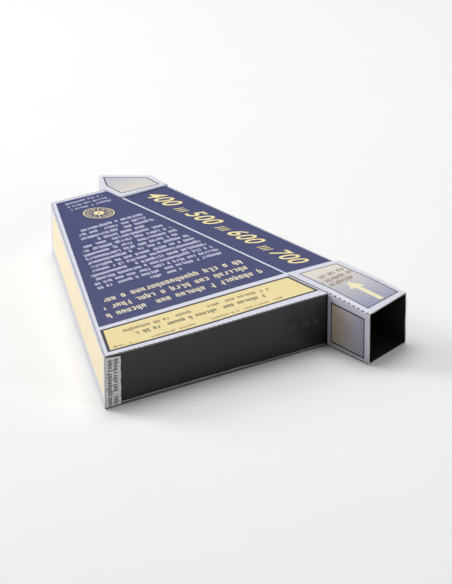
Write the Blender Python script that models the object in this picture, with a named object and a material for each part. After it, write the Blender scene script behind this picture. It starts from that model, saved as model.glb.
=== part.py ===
"""A hand spectroscope folded and glued from printed card.

Light enters the square tube at the front, passes a narrow slit and runs along the straight
sight channel to the eyepiece, where a lens and a diffraction grating stand behind an oblique
window. From there the eye looks across the fan-shaped chamber to a scale in the wide front.

Plan coordinates start at the corner where the wide front meets the tube: x runs right across
the sight channel, y runs back to the eyepiece, and z is up from the face that the box lies on.
One empty carries that corner, so that the finished object is centred on its own footprint.
"""

import math

import bmesh
import bpy
from mathutils import Matrix, Vector

MM = 0.001

# Card and film
CARD = 0.6 * MM
FILM = 0.4 * MM
PAPER = 0.3 * MM
GAP = 0.3 * MM
STEP = CARD + GAP

# Body: a fan on the left and the straight sight channel on the right
HEIGHT = 24 * MM
LENGTH = 171 * MM
FRONT_WIDTH = 119 * MM
BACK_WIDTH = 30 * MM
CHANNEL_WIDTH = 28 * MM
LEFT_WALL_FRONT_GAP = 1.6 * MM
LEFT_WALL_BACK_GAP = 1.3 * MM
BACK_WALL_GAP = 0.5 * MM

# Front of the fan
TAB_WIDTH = 9 * MM
TAB_TOP_GAP = 0.9 * MM
LIP_HEIGHT = 0.8 * MM
SCALE_SLOT = 6 * MM
SCALE_MIDDLE = 13 * MM
FLAP_WIDTH = 6 * MM
FILM_INSET = 2 * MM
COVER_INSET = 3 * MM
COVER_END = 1.5 * CARD

# Light tube, whose mouth is cut obliquely and whose top slopes down a little to the mouth
TUBE_LEFT_LENGTH = 29 * MM
TUBE_RIGHT_LENGTH = 19 * MM
TUBE_OVERLAP = 28 * MM
TUBE_WIDTH = CHANNEL_WIDTH + STEP
TUBE_SLOPE = 0.045

# Slit at the front end of the channel
SLIT_WIDTH = 0.4 * MM
SLIT_HEIGHT = 16 * MM
SLIT_APERTURE = 8 * MM
BLADE_WIDTH = 7 * MM
BLADE_HEIGHT = 18 * MM

# Divider between the channel and the fan
BAFFLE_LENGTH = 104 * MM

# Eyepiece housing
EYE_OVERLAP = 15.5 * MM
EYE_CORNER_BACK = 16.8 * MM
EYE_CORNER_X = 9 * MM
EYE_CORNER_RIGHT = 0.8 * MM
EYE_CORNER_SIDE = 1.3 * MM
EYE_FLAP_LENGTH = 13 * MM
EYE_WALL_GAP = 1.2 * MM
WINDOW_WALL_GAP = 1.3 * MM
WINDOW_RADIUS = 7 * MM
HOLDER_SIDE = 19 * MM
HOLDER_THICKNESS = 1.2 * MM
LENS_RADIUS = 8 * MM
LENS_EDGE = 1.0 * MM
LENS_CROWN = 1.3 * MM
GRATING_SIDE = 16 * MM
ROUND_STEPS = 48
LENS_RINGS = 6
LENS_SMOOTH_ANGLE = math.radians(35)
MERGE_DISTANCE = 1e-7
CUTTER_DEPTH = 6 * CARD

FOOTPRINT_X = (TUBE_WIDTH - FRONT_WIDTH) / 2
FOOTPRINT_Y = (LENGTH + EYE_CORNER_BACK - TUBE_LEFT_LENGTH) / 2

LOOKS = {
    "blue_card": ((0.055, 0.075, 0.25), 0.5),
    "cream_card": ((0.93, 0.85, 0.62), 0.6),
    "hatched_card": ((0.62, 0.60, 0.66), 0.55),
    "white_card": ((0.80, 0.81, 0.88), 0.6),
    "grey_card": ((0.45, 0.46, 0.46), 0.8),
    "black_card": ((0.02, 0.02, 0.02), 0.7),
    "scale_film": ((0.03, 0.03, 0.035), 0.15),
    "clear_plastic": ((0.85, 0.90, 0.95), 0.05),
    "grating_film": ((0.55, 0.60, 0.75), 0.1),
}


def clear_scene():
    """Takes every object out of the scene."""
    for obj in list(bpy.data.objects):
        bpy.data.objects.remove(obj, do_unlink=True)


def make_footprint():
    """The empty at the corner between the wide front and the tube."""
    corner = bpy.data.objects.new("plan_corner", None)
    corner.location = (-FOOTPRINT_X, -FOOTPRINT_Y, 0)
    bpy.context.collection.objects.link(corner)
    return corner


def make_material(name, look):
    """A Principled material of its own for the sub-part of this name."""
    colour, roughness = LOOKS[look]
    material = bpy.data.materials.new(name)
    material.use_nodes = True
    shader = material.node_tree.nodes["Principled BSDF"]
    shader.inputs["Base Color"].default_value = (*colour, 1)
    shader.inputs["Roughness"].default_value = roughness
    shader.inputs["Metallic"].default_value = 0
    material.diffuse_color = (*colour, 1)
    return material


def add_node(name, mesh, look, parent):
    """One named sub-part, placed under the plan corner."""
    mesh.materials.append(make_material(name, look))
    node = bpy.data.objects.new(name, mesh)
    node.parent = parent
    bpy.context.collection.objects.link(node)
    return node


def mesh_from(name, build):
    """A mesh whose bmesh is filled by build, closed and facing out."""
    mesh = bpy.data.meshes.new(name)
    shape = bmesh.new()
    build(shape)
    bmesh.ops.recalc_face_normals(shape, faces=shape.faces)
    shape.to_mesh(mesh)
    shape.free()
    return mesh


def extruded(name, loops, offset):
    """A solid swept along offset from a sheet of one or more flat faces that share corners."""

    def build(shape):
        corners = {}
        for loop in loops:
            for point in loop:
                if point not in corners:
                    corners[point] = shape.verts.new(point)
        faces = [shape.faces.new([corners[point] for point in loop]) for loop in loops]
        swept = bmesh.ops.extrude_face_region(shape, geom=faces, use_keep_orig=True)
        moved = [item for item in swept["geom"] if isinstance(item, bmesh.types.BMVert)]
        bmesh.ops.translate(shape, verts=moved, vec=offset)

    return mesh_from(name, build)


def flat_panel(name, outline, floor, look, parent, thickness=CARD):
    """A level panel over a plan outline."""
    loop = [(x, y, floor) for x, y in outline]
    return add_node(name, extruded(name, [loop], (0, 0, thickness)), look, parent)


def side_panel(name, left, outline, look, parent, thickness=CARD):
    """An upright panel in a plane of constant x, over an outline of y and z."""
    loop = [(left, y, z) for y, z in outline]
    return add_node(name, extruded(name, [loop], (thickness, 0, 0)), look, parent)


def wall(name, start, end, heights, look, parent, thickness=CARD):
    """An upright wall from start to end, whose thickness lies to the right of that way."""
    run = (Vector(end) - Vector(start)).normalized()
    low, high = heights
    loop = [(*start, low), (*end, low), (*end, high), (*start, high)]
    offset = (run.y * thickness, -run.x * thickness, 0)
    return add_node(name, extruded(name, [loop], offset), look, parent)


def between(start, end, from_start, from_end):
    """The stretch of the line that is left when each end is cut back."""
    run = (Vector(end) - Vector(start)).normalized()
    return tuple(Vector(start) + run * from_start), tuple(Vector(end) - run * from_end)


def cylinder_mesh(name, radius, depth):
    """A plain cylinder about z, centred on its middle."""

    def build(shape):
        bmesh.ops.create_cone(
            shape,
            cap_ends=True,
            segments=ROUND_STEPS,
            radius1=radius,
            radius2=radius,
            depth=depth,
        )

    return mesh_from(name, build)


def box_mesh(name, width, height, depth):
    """A box about its middle."""

    def build(shape):
        bmesh.ops.create_cube(shape, size=1)
        bmesh.ops.scale(shape, verts=shape.verts, vec=(width, height, depth))

    return mesh_from(name, build)


def cut_round(node, radius, middle):
    """A round hole through a panel, whose cutter stands at middle with its axis along z."""
    cutter = bpy.data.objects.new(node.name + "_cutter", cylinder_mesh("cutter", radius, CUTTER_DEPTH))
    cutter.matrix_local = middle
    cutter.parent = node.parent
    cutter.hide_render = True
    cutter.display_type = "WIRE"
    bpy.context.collection.objects.link(cutter)
    hole = node.modifiers.new("hole", "BOOLEAN")
    hole.operation = "DIFFERENCE"
    hole.solver = "EXACT"
    hole.object = cutter


def body_outline():
    """The fan and the channel together, front left corner first."""
    return [
        (-FRONT_WIDTH, 0),
        (CHANNEL_WIDTH, 0),
        (CHANNEL_WIDTH, LENGTH),
        (-BACK_WIDTH, LENGTH),
    ]


def build_body(parent):
    """The folded case: two large panels, their walls and the flaps that are glued inside."""
    outline = body_outline()
    front_left, _, _, back_left = outline
    wall_heights = (STEP, HEIGHT - STEP)
    flat_panel("body_top_panel", outline, HEIGHT - CARD, "blue_card", parent)
    flat_panel("body_bottom_panel", outline, 0, "white_card", parent)

    fold = between(front_left, back_left, LEFT_WALL_FRONT_GAP, LEFT_WALL_BACK_GAP)
    wall("body_left_wall", *fold, wall_heights, "cream_card", parent)
    back = between(back_left, (0, LENGTH), BACK_WALL_GAP, STEP)
    wall("body_back_wall", *back, wall_heights, "cream_card", parent)
    side = ((CHANNEL_WIDTH, LENGTH - STEP), (CHANNEL_WIDTH, 0))
    wall("body_right_wall", *side, wall_heights, "cream_card", parent)

    run = (Vector(back_left) - Vector(front_left)).normalized()
    inward = Vector((run.y, -run.x))
    flap_start = Vector(front_left) + run * FLAP_WIDTH + inward * STEP
    flap_end = Vector(back_left) - run * FLAP_WIDTH + inward * STEP
    flap = [
        tuple(flap_start),
        tuple(flap_end),
        tuple(flap_end - run * FLAP_WIDTH + inward * FLAP_WIDTH),
        tuple(flap_start + run * FLAP_WIDTH + inward * FLAP_WIDTH),
    ]
    flat_panel("body_left_glue_flap", flap, STEP, "white_card", parent)

    back_flap = [
        (-BACK_WIDTH + FLAP_WIDTH, LENGTH - STEP),
        (-FLAP_WIDTH, LENGTH - STEP),
        (-FLAP_WIDTH - STEP, LENGTH - STEP - FLAP_WIDTH),
        (-BACK_WIDTH + FLAP_WIDTH + STEP, LENGTH - STEP - FLAP_WIDTH),
    ]
    flat_panel("body_back_glue_flap", back_flap, STEP, "white_card", parent)

    channel_flap = [
        (CHANNEL_WIDTH - STEP - FLAP_WIDTH, FLAP_WIDTH),
        (CHANNEL_WIDTH - STEP, FLAP_WIDTH),
        (CHANNEL_WIDTH - STEP, LENGTH - 3 * FLAP_WIDTH),
        (CHANNEL_WIDTH - STEP - FLAP_WIDTH, LENGTH - 3 * FLAP_WIDTH),
    ]
    flat_panel("body_right_glue_flap", channel_flap, STEP, "white_card", parent)


def build_front(parent):
    """The wide front: tab and lip outside, the dark film behind them and its two covers."""
    tab_right = -FRONT_WIDTH + TAB_WIDTH
    tab_heights = (STEP, HEIGHT - CARD - TAB_TOP_GAP)
    wall("front_glue_tab", (tab_right, 0), (-FRONT_WIDTH, 0), tab_heights, "grey_card", parent)
    lip = ((-GAP, 0), (tab_right + GAP, 0))
    wall("front_lower_lip", *lip, (STEP, STEP + LIP_HEIGHT), "grey_card", parent)

    film = ((-GAP, STEP), (FILM_INSET - FRONT_WIDTH, STEP))
    wall("scale_film", *film, (STEP, HEIGHT - STEP), "scale_film", parent, FILM)

    cover_front = STEP + FILM + GAP
    cover = ((-COVER_END, cover_front), (COVER_INSET - FRONT_WIDTH, cover_front))
    slot_low = SCALE_MIDDLE - SCALE_SLOT / 2
    slot_high = SCALE_MIDDLE + SCALE_SLOT / 2
    wall("scale_cover_lower", *cover, (STEP, slot_low), "black_card", parent)
    wall("scale_cover_upper", *cover, (slot_high, HEIGHT - STEP), "black_card", parent)


def build_baffle(parent):
    """The divider that keeps the slit's light out of the fan, standing on a glued foot."""
    start = 2 * STEP + FILM + CARD
    end = start + BAFFLE_LENGTH
    heights = (STEP, HEIGHT - STEP)
    wall("light_baffle", (-CARD / 2, start), (-CARD / 2, end), heights, "black_card", parent)
    foot_left = -CARD / 2 - GAP - FLAP_WIDTH
    foot = [
        (foot_left, start + FLAP_WIDTH),
        (foot_left + FLAP_WIDTH, start + FLAP_WIDTH),
        (foot_left + FLAP_WIDTH, end - FLAP_WIDTH),
        (foot_left, end - FLAP_WIDTH),
    ]
    flat_panel("light_baffle_foot", foot, STEP, "black_card", parent)


def build_slit(parent):
    """The slit plate across the channel, with two paper blades behind its aperture."""
    middle = CHANNEL_WIDTH / 2
    half_height = (HEIGHT - 2 * STEP) / 2
    half_width = CHANNEL_WIDTH / 2 - STEP
    plate_front = 2 * STEP

    def frame(shape):
        outer = [(-half_width, -half_height), (half_width, -half_height)]
        outer += [(half_width, half_height), (-half_width, half_height)]
        inner = [(-SLIT_APERTURE / 2, -SLIT_HEIGHT / 2), (SLIT_APERTURE / 2, -SLIT_HEIGHT / 2)]
        inner += [(SLIT_APERTURE / 2, SLIT_HEIGHT / 2), (-SLIT_APERTURE / 2, SLIT_HEIGHT / 2)]
        outside = [shape.verts.new((x, 0, z)) for x, z in outer]
        inside = [shape.verts.new((x, 0, z)) for x, z in inner]
        faces = []
        for i in range(4):
            j = (i + 1) % 4
            faces.append(shape.faces.new((outside[i], outside[j], inside[j], inside[i])))
        swept = bmesh.ops.extrude_face_region(shape, geom=faces, use_keep_orig=True)
        moved = [item for item in swept["geom"] if isinstance(item, bmesh.types.BMVert)]
        bmesh.ops.translate(shape, verts=moved, vec=(0, CARD, 0))

    plate = add_node("slit_plate", mesh_from("slit_plate", frame), "black_card", parent)
    plate.location = (middle, plate_front, HEIGHT / 2)

    blade_front = plate_front + STEP
    heights = ((HEIGHT - BLADE_HEIGHT) / 2, (HEIGHT + BLADE_HEIGHT) / 2)
    for name, near, far in (
        ("slit_blade_left", -SLIT_WIDTH / 2, -SLIT_WIDTH / 2 - BLADE_WIDTH),
        ("slit_blade_right", SLIT_WIDTH / 2 + BLADE_WIDTH, SLIT_WIDTH / 2),
    ):
        ends = ((middle + near, blade_front), (middle + far, blade_front))
        wall(name, *ends, heights, "black_card", parent, PAPER)


def tube_top(y):
    """Height of the tube's outer top face at y."""
    return HEIGHT + STEP + min(y, 0) * TUBE_SLOPE


def build_tube(parent):
    """The light tube, a folded hood over the end of the channel."""
    right = TUBE_WIDTH
    level = [(0, 0), (right, 0), (right, TUBE_OVERLAP), (0, TUBE_OVERLAP)]
    sloping = [(0, -TUBE_LEFT_LENGTH), (right, -TUBE_RIGHT_LENGTH), (right, 0), (0, 0)]
    loops = [[(x, y, tube_top(y)) for x, y in part] for part in (level, sloping)]
    top = extruded("tube_top_panel", loops, (0, 0, -CARD))
    add_node("tube_top_panel", top, "hatched_card", parent)

    floor = [(0, -TUBE_LEFT_LENGTH), (right, -TUBE_RIGHT_LENGTH), (right, -GAP), (0, -GAP)]
    flat_panel("tube_bottom_panel", floor, 0, "white_card", parent)

    def under(y):
        return tube_top(y) - STEP

    left_wall = [
        (-GAP, STEP),
        (-TUBE_LEFT_LENGTH, STEP),
        (-TUBE_LEFT_LENGTH, under(-TUBE_LEFT_LENGTH)),
        (-GAP, under(-GAP)),
    ]
    side_panel("tube_left_wall", 0, left_wall, "hatched_card", parent)

    right_wall = [
        (TUBE_OVERLAP, STEP),
        (-TUBE_RIGHT_LENGTH, STEP),
        (-TUBE_RIGHT_LENGTH, under(-TUBE_RIGHT_LENGTH)),
        (0, under(0)),
        (TUBE_OVERLAP, under(0)),
    ]
    side_panel("tube_right_wall", right - CARD, right_wall, "hatched_card", parent)

    flap_front = -TUBE_LEFT_LENGTH + STEP
    flap_low = HEIGHT / 3
    flap = [
        (-2 * FLAP_WIDTH, flap_low + FLAP_WIDTH / 2),
        (flap_front, flap_low),
        (flap_front, under(flap_front)),
        (-FLAP_WIDTH, under(-FLAP_WIDTH)),
    ]
    side_panel("tube_glue_flap", STEP, flap, "black_card", parent)


def eye_corners():
    """Plan corners of the eyepiece: left root, back corner and right root."""
    left = (0, LENGTH + GAP)
    back = (EYE_CORNER_X, LENGTH + EYE_CORNER_BACK)
    right = (CHANNEL_WIDTH + EYE_CORNER_RIGHT, LENGTH + EYE_CORNER_SIDE)
    return left, back, right


def window_frame(depth):
    """Placement at the middle of the oblique window, z pointing inwards, depth behind its face."""
    _, back, right = eye_corners()
    run = (Vector(right) - Vector(back)).normalized()
    inward = Vector((run.y, -run.x, 0))
    middle = (Vector(back) + Vector(right)) / 2
    place = Vector((*middle, HEIGHT / 2)) + inward * depth
    across = Vector((*run, 0))
    turned = Matrix((across, inward.cross(across), inward)).transposed().to_4x4()
    return Matrix.Translation(place) @ turned


def lens_mesh():
    """A plano-convex lens about z, its flat face towards the eye."""
    dome_radius = (LENS_RADIUS**2 + LENS_CROWN**2) / (2 * LENS_CROWN)
    sweep = math.asin(LENS_RADIUS / dome_radius)
    profile = [(0, 0), (LENS_RADIUS, 0)]
    for i in range(LENS_RINGS + 1):
        angle = sweep * (1 - i / LENS_RINGS)
        rise = dome_radius * (math.cos(angle) - math.cos(sweep))
        profile.append((dome_radius * math.sin(angle), LENS_EDGE + rise))

    def build(shape):
        points = [shape.verts.new((x, 0, z)) for x, z in profile]
        edges = [shape.edges.new(pair) for pair in zip(points, points[1:])]
        bmesh.ops.spin(
            shape,
            geom=points + edges,
            axis=(0, 0, 1),
            cent=(0, 0, 0),
            angle=2 * math.pi,
            steps=ROUND_STEPS,
            use_merge=True,
        )
        bmesh.ops.remove_doubles(shape, verts=shape.verts, dist=MERGE_DISTANCE)

    mesh = mesh_from("lens", build)
    mesh.shade_smooth()
    mesh.set_sharp_from_angle(angle=LENS_SMOOTH_ANGLE)
    return mesh


def plate_at_window(name, side, thickness, depth, look, parent):
    """A square plate parallel to the window, its middle depth behind the window's face."""
    plate = add_node(name, box_mesh(name, side, side, thickness), look, parent)
    plate.matrix_local = window_frame(depth)
    return plate


def build_eyepiece(parent):
    """The housing behind the channel, with the lens and the grating behind its window."""
    left, back, right = eye_corners()
    top_outline = [
        (-CARD, LENGTH - EYE_OVERLAP),
        (CHANNEL_WIDTH - CARD, LENGTH - EYE_OVERLAP),
        right,
        back,
        (-CARD, LENGTH - CARD),
    ]
    flat_panel("eyepiece_top_panel", top_outline, HEIGHT + GAP, "hatched_card", parent)
    floor = [left, (CHANNEL_WIDTH, LENGTH + GAP), right, back]
    flat_panel("eyepiece_bottom_panel", floor, 0, "white_card", parent)

    heights = (STEP, HEIGHT)
    ends = between(left, back, CARD, EYE_WALL_GAP)
    wall("eyepiece_left_wall", *ends, heights, "hatched_card", parent)
    ends = between(back, right, GAP, WINDOW_WALL_GAP)
    window = wall("eyepiece_window_wall", *ends, heights, "hatched_card", parent)
    cut_round(window, WINDOW_RADIUS, window_frame(CARD / 2))
    flap_x = CHANNEL_WIDTH + GAP
    flap_end = LENGTH - STEP - EYE_FLAP_LENGTH
    flap = ((flap_x, flap_end), (flap_x, LENGTH - CARD))
    wall("eyepiece_side_flap", *flap, heights, "hatched_card", parent)

    holder_depth = STEP + HOLDER_THICKNESS / 2
    holder = plate_at_window("lens_holder", HOLDER_SIDE, HOLDER_THICKNESS, holder_depth, "black_card", parent)
    cut_round(holder, LENS_RADIUS + GAP, window_frame(holder_depth))
    lens = add_node("lens", lens_mesh(), "clear_plastic", parent)
    lens.matrix_local = window_frame(STEP)

    grating_depth = STEP + LENS_EDGE + LENS_CROWN + GAP
    mount_depth = grating_depth + CARD / 2
    mount = plate_at_window("grating_holder", HOLDER_SIDE, CARD, mount_depth, "black_card", parent)
    cut_round(mount, WINDOW_RADIUS, window_frame(mount_depth))
    film_depth = grating_depth + STEP + FILM / 2
    plate_at_window("grating_film", GRATING_SIDE, FILM, film_depth, "grating_film", parent)


def main():
    clear_scene()
    corner = make_footprint()
    build_body(corner)
    build_front(corner)
    build_baffle(corner)
    build_slit(corner)
    build_tube(corner)
    build_eyepiece(corner)


main()
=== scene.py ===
"""The looks of the folded-card hand spectroscope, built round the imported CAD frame.

Lengths are in plan millimetres unless a name says otherwise. The plan starts at the corner where
the wide front meets the light tube: x runs right across the sight channel, y runs back to the
eyepiece and z runs up. plan() turns such a point into the frame's metres.
"""

import math

import bpy
from mathutils import Matrix, Vector


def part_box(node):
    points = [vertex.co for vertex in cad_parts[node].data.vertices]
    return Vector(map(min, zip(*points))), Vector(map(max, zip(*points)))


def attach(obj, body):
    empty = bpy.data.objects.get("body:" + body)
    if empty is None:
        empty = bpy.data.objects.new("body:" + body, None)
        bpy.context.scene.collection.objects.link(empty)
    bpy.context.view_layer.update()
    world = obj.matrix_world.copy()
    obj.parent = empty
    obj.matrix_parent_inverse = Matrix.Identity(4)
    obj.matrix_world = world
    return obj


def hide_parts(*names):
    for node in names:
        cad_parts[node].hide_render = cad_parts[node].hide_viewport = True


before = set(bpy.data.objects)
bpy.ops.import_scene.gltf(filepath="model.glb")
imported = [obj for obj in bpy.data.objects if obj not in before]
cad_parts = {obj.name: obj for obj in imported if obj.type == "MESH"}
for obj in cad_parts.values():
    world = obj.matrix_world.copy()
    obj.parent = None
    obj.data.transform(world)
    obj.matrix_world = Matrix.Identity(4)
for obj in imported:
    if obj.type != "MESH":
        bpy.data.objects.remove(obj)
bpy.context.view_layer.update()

MM = 0.001
BODY = "root"


# ---------------- dimensions read from the frame


CORNER_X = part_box("tube_left_wall")[0][0]
CORNER_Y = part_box("body_top_panel")[0][1]
PLAN_START = (CORNER_X, CORNER_Y, 0.0)


def plan(x, y, z):
    """A point in plan millimetres, in the frame's metres."""
    return Vector((CORNER_X + x * MM, CORNER_Y + y * MM, z * MM))


def to_plan(point):
    """A point of the frame in plan millimetres."""
    return Vector(((point.x - CORNER_X) / MM, (point.y - CORNER_Y) / MM, point.z / MM))


def node_points(node):
    """A CAD node's corners, in plan millimetres."""
    return [to_plan(vertex.co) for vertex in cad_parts[node].data.vertices]


def plan_low(node, axis):
    """A CAD node's lowest x, y or z, in plan millimetres."""
    i = "xyz".index(axis)
    return (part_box(node)[0][i] - PLAN_START[i]) / MM


def plan_high(node, axis):
    """A CAD node's highest x, y or z, in plan millimetres."""
    i = "xyz".index(axis)
    return (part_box(node)[1][i] - PLAN_START[i]) / MM


HEIGHT = plan_high("body_top_panel", "z")
LENGTH = plan_high("body_top_panel", "y")
FRONT_LEFT = plan_low("body_top_panel", "x")
RIGHT = plan_high("body_top_panel", "x")
BACK_LEFT = min(p.x for p in node_points("body_top_panel") if p.y > LENGTH - 1)
CARD = plan_high("body_bottom_panel", "z") - plan_low("body_bottom_panel", "z")
GAP = 0.3  # what the CAD leaves between two panels
STEP = CARD + GAP
PLY = CARD - 0.05  # a sheet a little thinner than the CAD's card, so that it meets nothing inside

HOOD_RIGHT = plan_high("tube_right_wall", "x")
HOOD_BACK = plan_high("tube_top_panel", "y")
HOOD_LEFT_FRONT = plan_low("tube_left_wall", "y")
HOOD_RIGHT_FRONT = plan_low("tube_right_wall", "y")
HOOD_TOP = plan_high("tube_top_panel", "z")
HOOD_TOP_FRONT = plan_low("tube_top_panel", "z") + CARD

TAB_RIGHT = plan_high("front_glue_tab", "x")
TAB_TOP = plan_high("front_glue_tab", "z")
LIP_TOP = 1.35

EYE_OUTLINE = node_points("eyepiece_top_panel")
EYE_TOP = plan_high("eyepiece_top_panel", "z")
EYE_FRONT = min(p.y for p in EYE_OUTLINE)
EYE_BACK = max(EYE_OUTLINE, key=lambda p: p.y)
EYE_RIGHT = max(EYE_OUTLINE, key=lambda p: p.x)
EYE_LEFT_X = min(p.x for p in EYE_OUTLINE)
EYE_LEFT_BACK = max(p.y for p in EYE_OUTLINE if p.x < EYE_LEFT_X + 0.1)
EYE_FRONT_RIGHT = max(p.x for p in EYE_OUTLINE if p.y < EYE_FRONT + 0.1)
EYE_FRONT_SLOPE = 0.045  # the housing's front edge recedes a little to the right
WINDOW_RADIUS = (plan_high("lens", "z") - plan_low("lens", "z")) / 2 - 1

# Folds, with the cuts that perforate them as shares of a period, and where each is open
FOLD = 0.7
ARC_STEPS = 4
DASH_PERIOD = 2.6
HOOD_DASH_PERIOD = 3.3
PERFORATION = ((0.0, False), (0.2, False), (0.27, True), (0.73, True), (0.8, False))


def case_left(y):
    """The x of the case's slanting left fold."""
    return FRONT_LEFT + (BACK_LEFT - FRONT_LEFT) * y / LENGTH


def hood_top(y):
    """The height of the hood's upper face."""
    return HOOD_TOP + (HOOD_TOP_FRONT - HOOD_TOP) * min(y, 0) / HOOD_LEFT_FRONT


def hood_front(x):
    """The y of the hood's oblique mouth."""
    return HOOD_LEFT_FRONT + (HOOD_RIGHT_FRONT - HOOD_LEFT_FRONT) * x / HOOD_RIGHT


# ---------------- node-built materials


def srgb(red, green, blue):
    """A screen colour, 0 to 255, as linear light with full alpha."""
    levels = [channel / 255 for channel in (red, green, blue)]
    return (*[c / 12.92 if c <= 0.04045 else ((c + 0.055) / 1.055) ** 2.4 for c in levels], 1)


def feed(node, values):
    """Sets a node's inputs, by name or number. A field or a socket is linked to its input."""
    for name, value in values.items():
        if isinstance(value, Field):
            value = value.socket
        if isinstance(value, bpy.types.NodeSocket):
            node.id_data.links.new(value, node.inputs[name])
        else:
            node.inputs[name].default_value = value


class Field:
    """A number at each point of a surface, held by a node's socket. Arithmetic adds nodes."""

    def __init__(self, socket):
        self.socket = socket

    def run(self, operation, *others, clamp=False):
        """The field that a math node makes of this one and the others."""
        node = self.socket.id_data.nodes.new("ShaderNodeMath")
        node.operation = operation
        node.use_clamp = clamp
        feed(node, dict(enumerate((self, *others))))
        return Field(node.outputs[0])

    def __add__(self, other):
        return self.run("ADD", other)

    __radd__ = __add__

    def __sub__(self, other):
        return self.run("SUBTRACT", other)

    def __rsub__(self, other):
        return (self * -1) + other

    def __mul__(self, other):
        return self.run("MULTIPLY", other)

    __rmul__ = __mul__

    def __truediv__(self, other):
        return self.run("DIVIDE", other)

    def __neg__(self):
        return self * -1

    def floor(self):
        return self.run("FLOOR")

    def fract(self):
        return self.run("FRACT")

    def abs(self):
        return self.run("ABSOLUTE")

    def least(self, other):
        return self.run("MINIMUM", other)

    def most(self, other):
        return self.run("MAXIMUM", other)

    def clamped(self):
        return self.run("ADD", 0.0, clamp=True)

    def above(self, limit, soft=0.08):
        """1 where the field is over limit and 0 under it, with a short ramp between."""
        return ((self - limit) / soft + 0.5).clamped()

    def below(self, limit, soft=0.08):
        """1 where the field is under limit and 0 over it, with a short ramp between."""
        return ((self - limit) / -soft + 0.5).clamped()

    def over(self, limit):
        """1 where the field is over limit, with no ramp."""
        return self.run("GREATER_THAN", limit)

    def between(self, start, end, soft=0.08):
        """1 where the field is over start and under end."""
        return self.above(start, soft) * self.below(end, soft)


class Paint:
    """A Principled material under construction, with plan coordinates and colour layers."""

    def __init__(self, name, colour, roughness, coat=0.0, specular=0.5):
        self.material = bpy.data.materials.new(name)
        self.material.use_nodes = True
        self.nodes = self.material.node_tree.nodes
        self.shader = self.nodes["Principled BSDF"]
        feed(self.shader, {"Roughness": roughness, "Specular IOR Level": specular})
        feed(self.shader, {"Coat Weight": coat, "Coat Roughness": 0.18})
        self.colour = colour
        self.material.diffuse_color = colour
        self.bump = None
        split = self.nodes.new("ShaderNodeSeparateXYZ")
        feed(split, {0: self.nodes.new("ShaderNodeTexCoord").outputs["Object"]})
        x, y, z = (Field(split.outputs[i]) for i in range(3))
        self.x = (x - CORNER_X) * (1 / MM)
        self.y = (y - CORNER_Y) * (1 / MM)
        self.z = z * (1 / MM)

    def vector(self, *fields):
        """A vector socket out of up to three fields or numbers."""
        node = self.nodes.new("ShaderNodeCombineXYZ")
        feed(node, dict(enumerate(fields)))
        return node.outputs[0]

    def noise(self, size, detail=3.0, stretch=(1, 1, 1)):
        """Smooth noise from 0 to 1 with features of that size in millimetres."""
        place = self.vector(self.x * stretch[0], self.y * stretch[1], self.z * stretch[2])
        node = self.nodes.new("ShaderNodeTexNoise")
        feed(node, {"Vector": place, "Scale": 1 / size, "Detail": detail})
        return Field(node.outputs["Fac"])

    def chance(self, across, down):
        """A random number from 0 to 1 for each whole pair of across and down."""
        node = self.nodes.new("ShaderNodeTexWhiteNoise")
        node.noise_dimensions = "2D"
        feed(node, {"Vector": self.vector(across, down)})
        return Field(node.outputs["Value"])

    def mixed(self, mask, under, over):
        """The colour under with the colour over laid on it where mask is 1."""
        node = self.nodes.new("ShaderNodeMix")
        node.data_type = "RGBA"
        under_slot, over_slot = (i for i, slot in enumerate(node.inputs) if slot.type == "RGBA")
        feed(node, {0: mask, under_slot: under, over_slot: over})
        return [slot for slot in node.outputs if slot.type == "RGBA"][0]

    def lay(self, mask, colour):
        """Prints colour over what is there."""
        self.colour = self.mixed(mask, self.colour, colour)

    def shade(self, field, depth):
        """Darkens by up to depth where field is 0 and leaves what is there where it is 1."""
        self.lay((1 - field) * depth, (0.0, 0.0, 0.0, 1))

    def relief(self, field, depth):
        """Adds a height in millimetres to the surface's bump."""
        self.bump = field * depth if self.bump is None else self.bump + field * depth

    def roughness(self, field, lowest, highest):
        """Lets the roughness follow field, from lowest to highest."""
        mapped = field * (highest - lowest) + lowest
        feed(self.shader, {"Roughness": mapped.clamped()})

    def done(self):
        """Links what was laid to the shader, and returns the material."""
        feed(self.shader, {"Base Color": self.colour})
        if self.bump is not None:
            node = self.nodes.new("ShaderNodeBump")
            feed(node, {"Distance": MM, "Height": self.bump})
            feed(self.shader, {"Normal": node.outputs[0]})
        return self.material


PAPER = srgb(214, 215, 227)
NAVY = srgb(54, 60, 107)
INK = srgb(48, 45, 62)
YELLOW = srgb(233, 215, 157)
CREAM = srgb(250, 236, 200)
WALL_CREAM = srgb(248, 232, 196)
# Darker copies of the margin and the wall's cream: painted shade on the back wall.
SHADED_BACK_MARGIN = srgb(204, 205, 216)
SHADED_BACK_CREAM = srgb(226, 209, 172)
SMALL_PRINT = srgb(226, 228, 246)
BROWN = srgb(112, 92, 78)
HOOD_BROWN = srgb(132, 104, 82)
GOLD = srgb(246, 228, 172)
ARROW_CREAM = srgb(238, 228, 188)
BLACK = srgb(26, 26, 27)
CORE = srgb(196, 194, 190)
# Grey-blue painted shade for the eyepiece's sloping front flap.
SLOPE_SHADE_BLUE = srgb(190, 194, 210)
FOLD_SHADE = srgb(128, 130, 148)
# Pale grey for the film's ghost figures and for its painted highlight.
GHOST_AND_HIGHLIGHT_GREY = srgb(150, 150, 156)


def card_surface(paint):
    """The faint mottle, fibres and uneven gloss that every printed card face has."""
    cloud = paint.noise(9.0, 4.0)
    grain = paint.noise(0.45, 2.0)
    paint.shade(cloud.between(0.2, 0.75, 0.5), 0.05)
    paint.shade(grain, 0.05)
    paint.relief(grain, 0.012)
    paint.relief(paint.noise(14.0, 1.0), 0.10)
    paint.roughness(cloud, 0.36, 0.62)


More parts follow.
